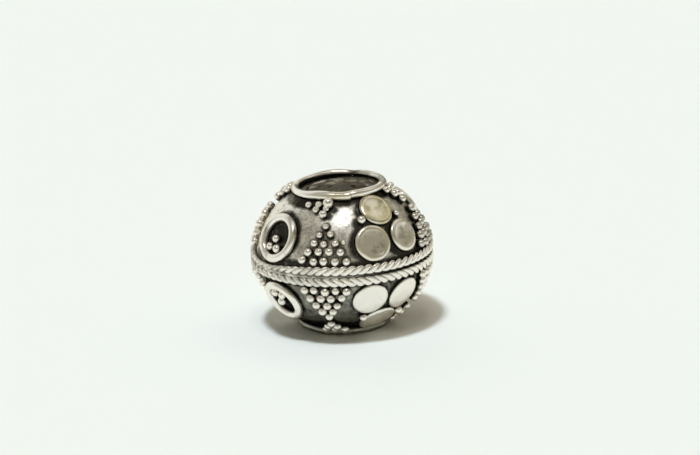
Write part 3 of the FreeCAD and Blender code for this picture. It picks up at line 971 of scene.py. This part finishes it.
def make_seam(material):
    """Solder between the two ropes: flush with them on one side, and sunk where the seam is open."""
    azimuths = steps_round(SEAM_STATIONS)
    circle = circle_at(azimuths)
    closed_end, open_end = OPEN_SEAM_SHARES
    opened = np.clip((np.cos(azimuths - OPEN_SEAM_SIDE) - closed_end) / (open_end - closed_end), 0, 1)
    wander = SOLDER_WANDER * waves(circle * BAND_RADIUS, SOLDER_WAVE, SOLDER_SEED)
    outer = BAND_RADIUS - FILLED_DEPTH - OPEN_DEPTH * opened + wander
    across, up = (np.full(SEAM_STATIONS, half) for half in (SOLDER_HALF_DEPTH, SOLDER_HALF_HEIGHT))
    rise = np.tile([0.0, 0.0, 1.0], (SEAM_STATIONS, 1))
    grid = wire_tube(circle * (outer - across)[:, None], circle, rise, across, up, SEAM_SIDES)
    piece = grid_piece("seam_solder", grid, True)
    blots = SOLDER_BLOTS * waves(circle * BAND_RADIUS, SOLDER_BLOT_SIZE, SOLDER_BLOT_SEED)
    patina = SOLDER_PATINA + blots * (1 - opened) + OPEN_PATINA * opened
    store(piece, "patina", np.repeat(patina, SEAM_SIDES))
    hand_over(piece, material, "wire_silver")


class BEAD_OT_ropes(Operator):
    """Makes the band of two twisted ropes, laid in opposite ways, and the solder between them"""
    bl_idname = "bead.ropes"
    bl_label = "Twisted band"

    def execute(self, context):
        wire = wire_sizes()
        tree = rope_tree()
        flatness = wire.rope_thickness / wire.rope_height
        path_radius = BAND_RADIUS - wire.rope_thickness / 2
        path_height = BAND_EDGE - wire.rope_height / 2
        material = twisted_wire(path_radius, path_height, wire.rope_height / 2, flatness)
        for name, half in HALVES.items():
            piece = link_mesh(name + "_twisted_rope", [(0, 0, 0)], [])
            grow(piece, tree, {
                "Path Radius": path_radius, "Path Height": path_height, "Lay": float(half),
                "Strand Radius": STRAND_RADIUS * wire.rope_height,
                "Strand Offset": STRAND_OFFSET * wire.rope_height, "Turns": wire.rope_turns,
                "Stations": wire.rope_turns * STATIONS_PER_TURN, "Flatness": flatness,
                "Outer Limit": BAND_RADIUS - ROLLED_MARGIN, "Unevenness": TWIST_WANDER,
                "Thin Azimuth": THIN_ROPE_SIDE, "Thinning": THINNING[name], "Material": material})
            hand_over(piece, None, "wire_silver", name + "_rope_wire_1", name + "_rope_wire_2")
        make_seam(drawn_wire())
        return {"FINISHED"}


# Rings and discs.

# How each ring and disc departs from the drawing, as hand work does: its share of the nominal
# radius, and how far it sits off its place, in degrees from the pole and round it.
RING_SHIFTS = {
    "upper_left": (1.02, 1.7, 0.8), "upper_right": (1.0, 0.0, 0.0),
    "lower_left": (0.95, -0.4, 3.0), "lower_right": (0.98, 0.3, 0.5)}
DISC_SHIFTS = {
    "upper_front_top": (0.98, -0.8, 2.7), "upper_front_left": (1.03, 0.0, 2.9),
    "upper_front_right": (0.95, -0.6, 4.4), "lower_front_top": (1.07, -1.6, 0.0),
    "lower_front_left": (1.03, -0.2, -0.6), "lower_front_right": (1.02, -1.2, 1.6),
    "upper_back_top": (1.0, 0.0, 0.0), "upper_back_left": (0.98, 0.0, -0.3),
    "upper_back_right": (1.0, 0.0, 0.3), "lower_back_top": (0.97, 0.0, 0.0),
    "lower_back_left": (1.0, 0.0, -0.2), "lower_back_right": (0.99, 0.0, 0.2)}
# The seed of each kind's unevenness, which changes by a step from piece to piece.
RING_SEED, RING_SEED_STEP, DISC_SEED, DISC_SEED_STEP = 31, 7, 61, 5
RING_STATIONS, RING_SIDES = 96, 16
# How far out of round a ring is and how uneven its wire, as shares, with their waves on a circle.
RING_SWAY, RING_SWAY_WAVE, RING_UNEVENNESS, RING_UNEVEN_WAVE = 0.015, 1.6 * MM, 0.06, 1.0 * MM
RING_NOISE_RADIUS = 1.3 * MM
# Share of its height that the worn top keeps, and how high the wire's middle lies over the dome.
RING_WORN, RING_SEAT = 0.93, 0.86
# Blots of patina on the upper rings, and the least and most patina of a ring.
RING_BLOTS, RING_BLOT_SIZE, RING_LEAST, RING_MOST = 0.55, 0.6 * MM, -0.10, 0.30
DISC_COLUMNS, FACE_ROWS, RIM_ROWS, EDGE_ROWS = 72, 14, 9, 4
# The face runs between these shares of its radius, and the underside closes over these.
FACE_ENDS, UNDER_SHARES = (0.08, 0.96), (0.8, 0.4, 0.1)
RIM_ROUNDING, SHOULDER_WIDTH = 0.19 * MM, 0.27 * MM
# Depth of a disc's dish and the power of its curve. The lower discs are domed, the lowest one most.
UPPER_DISH, LOWER_DISH, LOWEST_DISH = (0.06 * MM, 4), (-0.05 * MM, 4), (-0.14 * MM, 2)
# How far out of round a disc is, as a share, and the waves of the planishing in its face.
DISC_SWAY, DISC_SWAY_WAVE, HAMMER_DEPTH, HAMMER_WAVE = 0.028, 0.9 * MM, 0.016 * MM, 0.5 * MM
# How quickly the dish's patina sets in from its edge, the patina of the cut edge and its rows.
DISH_PATINA_RISE, EDGE_PATINA, EDGE_PATINA_ROWS = 5, 0.80, 3
# How much of the yellowish film the upper discs keep.
DISC_FILMS = {"top": 1.00, "left": 0.50, "right": 0.30}


def make_ring(name, half, polar, azimuth, size, seed, material):
    """A wire ring, a little out of round, sunk in its solder and worn flat on top."""
    wire = wire_sizes()
    circle = circle_at(steps_round(RING_STATIONS))
    track = circle * RING_NOISE_RADIUS
    radii = wire.ring_radius * size * (1 + RING_SWAY * waves(track, RING_SWAY_WAVE, seed))
    thick = wire.ring_wire * (1 + RING_UNEVENNESS * waves(track, RING_UNEVEN_WAVE, seed + 3))
    lift = np.sqrt((sphere_radius() + RING_SEAT * wire.ring_wire) ** 2 - radii ** 2)
    lean = radii / (sphere_radius() + wire.ring_wire)
    upright = np.sqrt(1 - lean ** 2)
    rise = np.stack([circle[:, 0] * lean, circle[:, 1] * lean, upright], axis=-1)
    outward = np.stack([circle[:, 0] * upright, circle[:, 1] * upright, -lean], axis=-1)
    path = circle * radii[:, None] + np.array([0, 0, 1.0]) * lift[:, None]
    grid = wire_tube(path, outward, rise, thick, thick, RING_SIDES, RING_WORN)
    piece = grid_piece(name + "_wire_ring", seated(grid, polar, azimuth, half), True)
    blots = np.full(grid.shape[:2], RING_LEAST)
    if half > 0:
        blots = RING_BLOTS * waves(grid, RING_BLOT_SIZE, seed + 5)
    store(piece, "patina", np.clip(blots, RING_LEAST, RING_MOST))
    hand_over(piece, material, "wire_silver", name + "_ring")


class BEAD_OT_rings(Operator):
    """Makes the wire rings on both halves"""
    bl_idname = "bead.rings"
    bl_label = "Rings"

    def execute(self, context):
        material = drawn_wire()
        seed = RING_SEED
        for name, half in HALVES.items():
            for side, azimuth in RING_AZIMUTHS.items():
                seed += RING_SEED_STEP
                key = name + "_" + side
                size, away, turn = RING_SHIFTS[key]
                polar, azimuth = ring_polar() + math.radians(away), math.radians(azimuth + turn)
                make_ring(key, half, polar, azimuth, size, seed, material)
        return {"FINISHED"}


def make_disc(name, half, polar, azimuth, radius, seed, material):
    """A planished disc, dished or domed, with a rounded rim and a cut edge that stands on the dome."""
    place = name.rsplit("_", 1)[1]
    dish, power = UPPER_DISH
    if half < 0:
        dish, power = LOWEST_DISH if place == "top" else LOWER_DISH
    foot = math.sqrt(sphere_radius() ** 2 - radius ** 2)
    top = foot + trim_sizes().disc_wall
    flat = radius - SHOULDER_WIDTH
    face = [(flat * k, top - dish * (1 - k ** power)) for k in np.linspace(*FACE_ENDS, FACE_ROWS)]
    rim = [(flat + SHOULDER_WIDTH * math.sin(a), top - RIM_ROUNDING * (1 - math.cos(a)))
           for a in np.linspace(0, math.pi / 2, RIM_ROWS)]
    edge = [(radius, z) for z in np.linspace(top - RIM_ROUNDING, foot, EDGE_ROWS)[1:]]
    under = [(radius * k, math.sqrt(sphere_radius() ** 2 - (radius * k) ** 2)) for k in UNDER_SHARES]
    grid = turned(face + rim + edge + under, DISC_COLUMNS)
    out_of_round = 1 + DISC_SWAY * waves(grid * np.array([1, 1, 0]), DISC_SWAY_WAVE, seed)
    grid[..., :2] *= out_of_round[..., None]
    hammer = HAMMER_DEPTH * waves(grid, HAMMER_WAVE, seed + 2)
    grid[:FACE_ROWS, :, 2] += hammer[:FACE_ROWS]
    piece = grid_piece(name + "_hammered_disc", seated(grid, polar, azimuth, half))
    # Handling keeps the rim bright, while a stain stays in the middle and the cut edge is black.
    patina = finish().upper_disc_patina if half > 0 else finish().lower_disc_patina
    inwards = 1 - np.linalg.norm(grid[..., :2], axis=-1) / flat
    stain = patina * np.clip(inwards * DISH_PATINA_RISE, 0, 1)
    stain[FACE_ROWS:] = 0.0
    first = FACE_ROWS + RIM_ROWS - EDGE_PATINA_ROWS
    for row in range(first, len(grid)):
        stain[row] = EDGE_PATINA * min(1, (row - first + 1) / EDGE_PATINA_ROWS)
    store(piece, "patina", np.append(stain, [patina, EDGE_PATINA]))
    film = DISC_FILMS[place] if half > 0 else 0.0
    store(piece, "film", np.full(len(piece.data.vertices), film))
    hand_over(piece, material, "disc_silver", name + "_disc")


class BEAD_OT_discs(Operator):
    """Makes the hammered discs, in threes"""
    bl_idname = "bead.discs"
    bl_label = "Discs"

    def execute(self, context):
        material = planished_sheet()
        seed = DISC_SEED
        for name, half in HALVES.items():
            for side, middle in TREFOIL_AZIMUTHS.items():
                for place, (polar, shift) in trefoil_places().items():
                    seed += DISC_SEED_STEP
                    key = "_".join([name, side, place])
                    size, away, turn = DISC_SHIFTS[key]
                    polar, azimuth = polar + math.radians(away), math.radians(middle + turn) + shift
                    make_disc(key, half, polar, azimuth, trim_sizes().disc_radius * size, seed, material)
        return {"FINISHED"}


# Granules.

BALL_SEGMENTS, BALL_RINGS = 12, 8
# The foot of solder spreads between these depths under a ball's middle, in shares of its radius.
FOOT_DEPTHS = (0.35, 1.0)
# How high a ball's middle lies over the dome, and how far hand work moves it.
BALL_SEAT, BALL_MOVE = 0.24 * MM, 0.028 * MM
# Seed of the random moves, which changes by a step from group to group.
BALL_SEED, BALL_SEED_STEP = 101, 3
# The small triangles lean by so many steps of this. The upper front left one leans more, lies closer
# and is carried off by the last two numbers, in degrees.
LEAN_COUNT, LEAN_STEP = 5, 0.04
ODD_ROW_LEAN, ODD_AXIS_LEAN, ODD_SQUEEZE, ODD_AWAY, ODD_TURN = -0.10, -0.72, 0.72, 1.4, -6.9
# A stray ball lies beside the fifth and sixth balls of that tall triangle.
STRAY_UP, STRAY_ALONG = 0.01, 0.75
# Sizes of the balls there: the six at the tall triangle's top, the small triangle and the stray.
ODD_SIZES = {0: 0.76, 1: 0.82, 2: 0.82, 3: 0.90, 4: 0.90, 5: 0.90,
             -7: 0.95, -6: 0.82, -5: 0.78, -4: 0.78, -3: 0.85, -2: 1.22, -1: 0.68}
# The second crook ball of the upper front trefoil is small.
SMALL_CROOK_BALL = {1: 0.76}


def granule_tree():
    """A ball with a spread foot at each point, stood along the point's outward direction."""
    tree, given = new_tree("Fused granules", (
        ("Radius", NUMBER, 0.0), ("Seat", NUMBER, 0.0), ("Foot", NUMBER, 0.5),
        ("Least Size", NUMBER, 0.93), ("Most Size", NUMBER, 1.04), ("Seed", WHOLE, 0),
        ("Material", SUBSTANCE, None)))
    ball = add(tree, "GeometryNodeMeshUVSphere", {
        "Segments": BALL_SEGMENTS, "Rings": BALL_RINGS, "Radius": given["Radius"]})
    parts = add(tree, SPLIT, (add(tree, PLACE),)).outputs
    depth = add(tree, MATH, (parts[2], -1.0), operation="MULTIPLY")
    depth = add(tree, MATH, (depth, given["Radius"]), operation="DIVIDE")
    spread = add(tree, RANGE, (depth, *FOOT_DEPTHS), **SMOOTH)
    widen = add(tree, MATH, (spread, given["Foot"], 1.0), operation="MULTIPLY_ADD")
    placed = add(tree, JOIN, (add(tree, MATH, (parts[0], widen), operation="MULTIPLY"),
                              add(tree, MATH, (parts[1], widen), operation="MULTIPLY"),
                              add(tree, MATH, (parts[2], given["Seat"]), operation="ADD")))
    ball = add(tree, RESHAPE, {"Geometry": ball, "Position": placed})
    ball = add(tree, "GeometryNodeSetShadeSmooth", {"Geometry": ball})
    outward = add(tree, OWN_VALUE, {"Name": "outward"}, data_type="FLOAT_VECTOR")
    turn = add(tree, "FunctionNodeAlignRotationToVector", {"Vector": outward}, axis="Z")
    own_size = add(tree, OWN_VALUE, {"Name": "size"}, data_type="FLOAT")
    size = add(tree, "FunctionNodeRandomValue", {
        "Min": given["Least Size"], "Max": given["Most Size"], "Seed": given["Seed"]}, data_type="FLOAT")
    size = add(tree, MATH, (size, own_size), operation="MULTIPLY")
    balls = add(tree, "GeometryNodeInstanceOnPoints", {
        "Points": given["Geometry"], "Instance": ball, "Rotation": turn, "Scale": size})
    return end_tree(tree, balls, given["Material"])


def carried(places, away, turn):
    """Places carried off by degrees from the pole and round it."""
    return [(polar + math.radians(away), across + math.radians(turn)) for polar, across in places]


def leaning(places, row_lean, axis_lean, squeeze=1.0):
    """A small triangle as it was laid by hand: its rows and its axis lean, and its rows lie closer."""
    middle = places[1][0]
    return [(middle + squeeze * (polar - middle) + row_lean * across * math.sin(middle),
             across - axis_lean * squeeze * (polar - middle) / math.sin(middle)) for polar, across in places]


def make_granules(name, half, places, azimuth, tree, seed, material, sizes):
    """Points on the dome, moved a little as by hand, and a fused ball on each."""
    chance = np.random.default_rng(seed)
    shift = BALL_MOVE / sphere_radius()
    rays = np.array([direction(polar + chance.normal(0, shift),
                               math.radians(azimuth) + across + chance.normal(0, shift) / math.sin(polar))
                     for polar, across in places])
    points = rays * sphere_radius() - np.array([0, 0, sphere_drop()])
    mirror = np.array([1, 1, half])
    piece = link_mesh(name + "_granulation", points * mirror, [])
    store(piece, "outward", rays * mirror, "FLOAT_VECTOR")
    own_sizes = np.ones(len(places))
    for place, size in sizes.items():
        own_sizes[place] = size
    store(piece, "size", own_sizes)
    radius = trim_sizes().granule_radius
    grow(piece, tree, {"Radius": radius, "Seat": BALL_SEAT, "Seed": seed, "Material": material})
    hand_over(piece, None, "granule_silver", name + "_granules")


def granule_groups(name, seed):
    """Name, places, azimuth and uneven sizes of each group of balls on one half."""
    tall, small = hourglass_places()
    groups = []
    for corner, azimuth in HOURGLASS_AZIMUTHS.items():
        seed += BALL_SEED_STEP
        lean = LEAN_STEP * (seed % LEAN_COUNT - LEAN_COUNT // 2)
        places, sizes = tall + leaning(small, lean, lean), {}
        if (name, corner) == ("upper", "front_left"):
            odd = leaning(small, ODD_ROW_LEAN, ODD_AXIS_LEAN, ODD_SQUEEZE)
            (polar, across), before = tall[5], tall[4]
            stray = (polar - STRAY_UP, across + STRAY_ALONG * (across - before[1]))
            places, sizes = tall + carried(odd, ODD_AWAY, ODD_TURN) + [stray], ODD_SIZES
        groups.append((corner, places, azimuth, sizes))
    for side, azimuth in RING_AZIMUTHS.items():
        places = carried(ring_granule_places(), *RING_SHIFTS[name + "_" + side][1:])
        groups.append((side + "_ring", places, azimuth, {}))
    for side, azimuth in TREFOIL_AZIMUTHS.items():
        places = carried(crook_places(), *DISC_SHIFTS[name + "_" + side + "_top"][1:])
        sizes = SMALL_CROOK_BALL if (name, side) == ("upper", "front") else {}
        groups.append((side + "_disc", places, azimuth, sizes))
    return groups


class BEAD_OT_granules(Operator):
    """Makes the triangles of fused granules, and those in the rings and beside the discs"""
    bl_idname = "bead.granules"
    bl_label = "Granules"

    def execute(self, context):
        material, tree = fused_ball(), granule_tree()
        seed = BALL_SEED
        for name, half in HALVES.items():
            for group, places, azimuth, sizes in granule_groups(name, seed):
                seed += BALL_SEED_STEP
                make_granules(name + "_" + group, half, places, azimuth, tree, seed, material, sizes)
        return {"FINISHED"}


# Stage.

# The photograph's view: direction, roll and distance of the camera, and where the bead's centre falls.
CAMERA_AZIMUTH, CAMERA_ELEVATION, CAMERA_ROLL = -32.911, 16.473, 2.453
CAMERA_DISTANCE = 186.09 * MM
FOCAL_PIXELS, FRAME_WIDTH, FRAME_HEIGHT = 2852.0, 700, 455
CENTRE_PIXEL = (342.0, 250.9)
SENSOR_WIDTH = 36.0
NEAREST_SEEN, FARTHEST_SEEN = 10 * MM, 10.0
TABLE_RADIUS, TABLE_CORNERS = 1.2, 64
# The lamp, almost overhead and a little towards the camera, in degrees.
LAMP_AZIMUTH, LAMP_ELEVATION, LAMP_WIDTH = 210, 73, 8
LAMP_STRENGTH, LAMP_COLOUR = 2.12, "#ECF6FF"
# The room's colours by height, from the horizon to overhead.
ROOM_STOPS = ((0.0, "#F0F2EF"), (0.80, "#6E6A5C"), (0.18, "#989484"), (0.55, "#8A8676"))
# The paper behind the bead, two pale cards and last the softbox: azimuth, elevation, outer and
# inner reach, in degrees, and colour.
CARDS = ((88, 8, 62, 36, "#EFF2EE"), (347, 51, 24, 11, "#F2EFE4"), (170, 46, 34, 18, "#ABA89D"),
         (242, 73, 13, 6, "#FBFCFF"))
SOFTBOX_STRENGTH = 8.0
# The room as the metal mirrors it is brighter than the light that it sheds on the table, so the shadow
# stays. Less of that light comes from the dim side, so the shadow is deepest there.
ROOM_LIGHT = (0.87, 0.77, 0.69)
DIM_SIDE, DIM_SHARES = math.radians(200), (-0.6, 0.6, 1.33, 0.67)


def make_camera():
    """The camera at the photograph's viewing angle, without lens shift or depth of field."""
    a, e, r = map(math.radians, (CAMERA_AZIMUTH, CAMERA_ELEVATION, CAMERA_ROLL))
    back = Vector((math.sin(a) * math.cos(e), -math.cos(a) * math.cos(e), math.sin(e)))
    level = Vector((math.cos(a), math.sin(a), 0))
    upright = back.cross(level)
    right = level * math.cos(r) - upright * math.sin(r)
    up = level * math.sin(r) + upright * math.cos(r)
    off_right, off_up = FRAME_WIDTH / 2 - CENTRE_PIXEL[0], CENTRE_PIXEL[1] - FRAME_HEIGHT / 2
    aim = -back * FOCAL_PIXELS + right * off_right + up * off_up
    swing = (-back).rotation_difference(aim.normalized()).to_matrix()
    turn = swing @ Matrix((right, up, back)).transposed()
    camera = bpy.data.cameras.new("photograph_view")
    camera.sensor_width = SENSOR_WIDTH
    camera.lens = FOCAL_PIXELS * SENSOR_WIDTH / FRAME_WIDTH
    camera.clip_start, camera.clip_end = NEAREST_SEEN, FARTHEST_SEEN
    holder = bpy.data.objects.new("photograph_view", camera)
    holder.matrix_world = Matrix.Translation(back * CAMERA_DISTANCE) @ turn.to_4x4()
    bpy.context.scene.collection.objects.link(holder)
    bpy.context.scene.camera = holder


def make_lamp():
    """One soft lamp. The metal doesn't mirror it, but the room's softbox in its place."""
    sun = bpy.data.lights.new("overhead_lamp", "SUN")
    sun.energy = LAMP_STRENGTH
    sun.color = linear(LAMP_COLOUR)[:3]
    sun.angle = math.radians(LAMP_WIDTH)
    holder = bpy.data.objects.new("overhead_lamp", sun)
    holder.visible_glossy = False
    towards = Vector(direction(math.pi / 2 - math.radians(LAMP_ELEVATION), math.radians(LAMP_AZIMUTH)))
    holder.rotation_mode = "QUATERNION"
    holder.rotation_quaternion = towards.to_track_quat("Z", "Y")
    bpy.context.scene.collection.objects.link(holder)


def make_room():
    """A dim room, pale near the horizon, with pale paper behind the bead and a softbox overhead."""
    world = bpy.data.worlds.new("room")
    bpy.context.scene.world = world
    world.use_nodes = True
    tree = world.node_tree
    tree.nodes.clear()
    place = add(tree, "ShaderNodeTexCoord").outputs["Generated"]
    shade = add(tree, "ShaderNodeValToRGB", (add(tree, SPLIT, (place,)).outputs[2],))
    set_stops(shade, [(position, linear(code)) for position, code in ROOM_STOPS])
    for azimuth, elevation, outer, inner, code in CARDS:
        towards = direction(math.radians(90 - elevation), math.radians(azimuth))
        card = add(tree, VECTOR_MATH, (place, towards), operation="DOT_PRODUCT")
        ends = [math.cos(math.radians(reach)) for reach in (outer, inner)]
        card = add(tree, RANGE, (card, *ends), **SMOOTH)
        shade = add(tree, MIX, {"Factor": card, "A": shade, "B": linear(code)}, data_type="RGBA")
    path = add(tree, "ShaderNodeLightPath").outputs
    seen = add(tree, MATH, (path["Is Camera Ray"], path["Is Glossy Ray"]), operation="MAXIMUM")
    shed = add(tree, VECTOR_MATH, (place, direction(math.pi / 2, DIM_SIDE)), operation="DOT_PRODUCT")
    shed = add(tree, RANGE, (shed, *DIM_SHARES), **SMOOTH)
    shed = add(tree, VECTOR_MATH, {0: ROOM_LIGHT, "Scale": shed}, operation="SCALE")
    shed = add(tree, MIX, {"Factor": seen, "A": shed, "B": (1.0, 1.0, 1.0, 1.0)}, data_type="RGBA")
    shade = add(tree, MIX, {"Factor": 1.0, "A": shade, "B": shed}, data_type="RGBA", blend_type="MULTIPLY")
    # The last card is the softbox, and only it shines brighter than its colour.
    strength = add(tree, MATH, (card, SOFTBOX_STRENGTH - 1, 1.0), operation="MULTIPLY_ADD")
    background = add(tree, "ShaderNodeBackground", {"Color": shade, "Strength": strength})
    add(tree, "ShaderNodeOutputWorld", {"Surface": background})


class BEAD_OT_stage(Operator):
    """Makes the pale table, the soft lamp, the room and the camera"""
    bl_idname = "bead.stage"
    bl_label = "Stage"

    def execute(self, context):
        corners = turned([(TABLE_RADIUS, FLOOR_HEIGHT)], TABLE_CORNERS)[0]
        table = link_mesh("pale_table", corners, [list(range(TABLE_CORNERS))])
        table.data.materials.append(table_paper())
        make_room()
        make_lamp()
        make_camera()
        context.scene.view_settings.view_transform = "Standard"
        return {"FINISHED"}


PIECE_OPERATORS = (BEAD_OT_shells, BEAD_OT_collars, BEAD_OT_ropes, BEAD_OT_rings, BEAD_OT_discs,
                   BEAD_OT_granules, BEAD_OT_stage)
SETTINGS = {"bead_shell": ShellSizes, "bead_wire": WireSizes, "bead_trim": TrimSizes, "bead_finish": Finish}


class BEAD_PT_panel(Panel):
    """Lists the bead's pieces and the sizes and colours that they are made with"""
    bl_idname = "BEAD_PT_panel"
    bl_label = "Granulated bead"
    bl_space_type = "VIEW_3D"
    bl_region_type = "UI"
    bl_category = "Bead"

    def draw(self, context):
        for operator in PIECE_OPERATORS:
            self.layout.operator(operator.bl_idname)
        for name in SETTINGS:
            group = getattr(context.scene, name)
            for key in group.__annotations__:
                self.layout.prop(group, key)


def register():
    for group in (*SETTINGS.values(), *PIECE_OPERATORS, BEAD_PT_panel):
        bpy.utils.register_class(group)
    for name, group in SETTINGS.items():
        setattr(bpy.types.Scene, name, PointerProperty(type=group))


def unregister():
    for name in SETTINGS:
        delattr(bpy.types.Scene, name)
    for group in (BEAD_PT_panel, *PIECE_OPERATORS[::-1], *SETTINGS.values()):
        bpy.utils.unregister_class(group)


def main():
    register()
    bpy.ops.bead.shells()
    bpy.ops.bead.collars()
    bpy.ops.bead.ropes()
    bpy.ops.bead.rings()
    bpy.ops.bead.discs()
    bpy.ops.bead.granules()
    bpy.ops.bead.stage()


if __name__ == "__main__":
    main()
